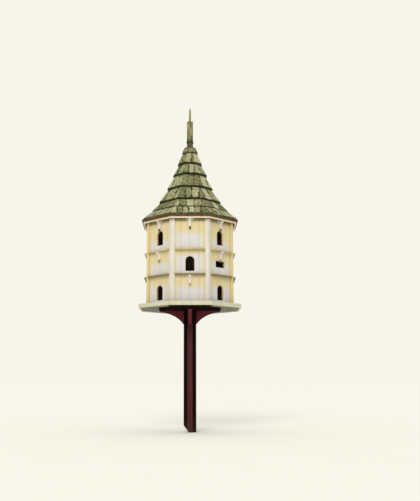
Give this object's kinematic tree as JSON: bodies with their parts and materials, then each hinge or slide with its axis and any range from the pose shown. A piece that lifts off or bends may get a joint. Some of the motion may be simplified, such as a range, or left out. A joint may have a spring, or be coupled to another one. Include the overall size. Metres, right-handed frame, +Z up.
{
  "type": "octagonal pole dovecote",
  "caption": "Octagonal wooden dovecote on a post, with tiers of arched pop holes over landing ledges, a bell-cast shingle roof and a spiked finial.",
  "frame": {"origin": "middle of the post's foot, at ground level", "axes": "+Z up along the post; the front wall, with one hole in its middle tier, faces -Y; +X is the right side seen from the front"},
  "size_m": [0.986, 0.986, 3.264],
  "materials": {
    "dark_red_gloss": "satin painted",
    "dark_brown_paint": "satin painted",
    "grey_board": "weathered",
    "pale_green_cream": "matt painted",
    "cream_wall_paint": "matt painted",
    "white_trim_paint": "matt painted",
    "ledge_paint": "matt painted, weathered",
    "bare_softwood": "sawn",
    "olive_soffit_paint": "matt painted",
    "fascia_cream_paint": "matt painted",
    "brown_edge_stain": "stained",
    "sawn_roof_board": "sawn",
    "mossy_cedar_shingle": "weathered",
    "weathered_olive_paint": "weathered",
    "dark_finial_ring": "weathered"
  },
  "bodies": {
    "root": {"post": "dark_red_gloss", "bracket_front": "dark_red_gloss", "bracket_right": "dark_red_gloss", "bracket_back": "dark_red_gloss", "bracket_left": "dark_red_gloss", "mounting_plate": "dark_brown_paint", "platform_battens": "dark_brown_paint", "base_platform": "grey_board", "platform_rim": "pale_green_cream", "wall_front": "cream_wall_paint", "wall_front_right": "cream_wall_paint", "wall_right": "cream_wall_paint", "wall_back_right": "cream_wall_paint", "wall_back": "cream_wall_paint", "wall_back_left": "cream_wall_paint", "wall_left": "cream_wall_paint", "wall_front_left": "cream_wall_paint", "corner_front_right": "white_trim_paint", "corner_right_front": "white_trim_paint", "corner_right_back": "white_trim_paint", "corner_back_right": "white_trim_paint", "corner_back_left": "white_trim_paint", "corner_left_back": "white_trim_paint", "corner_left_front": "white_trim_paint", "corner_front_left": "white_trim_paint", "corbels": "white_trim_paint", "lower_ledges": "ledge_paint", "upper_ledges": "ledge_paint", "middle_floor": "bare_softwood", "top_floor": "bare_softwood", "king_post": "bare_softwood", "bottom_nest_boards": "bare_softwood", "middle_nest_boards": "bare_softwood", "top_nest_boards": "bare_softwood", "eaves_board": "olive_soffit_paint", "eaves_fascia": "fascia_cream_paint", "roof_edge_strip": "brown_edge_stain", "roof_boards": "sawn_roof_board", "roof_course_1": "mossy_cedar_shingle", "roof_course_2": "mossy_cedar_shingle", "roof_course_3": "mossy_cedar_shingle", "roof_course_4": "mossy_cedar_shingle", "roof_course_5": "mossy_cedar_shingle", "roof_course_6": "mossy_cedar_shingle", "roof_course_7": "mossy_cedar_shingle", "corbel_drops": "weathered_olive_paint", "roof_cap": "weathered_olive_paint", "finial_shaft": "weathered_olive_paint", "finial_spike": "weathered_olive_paint", "finial_ring": "dark_finial_ring"}
  },
  "joints": []
}
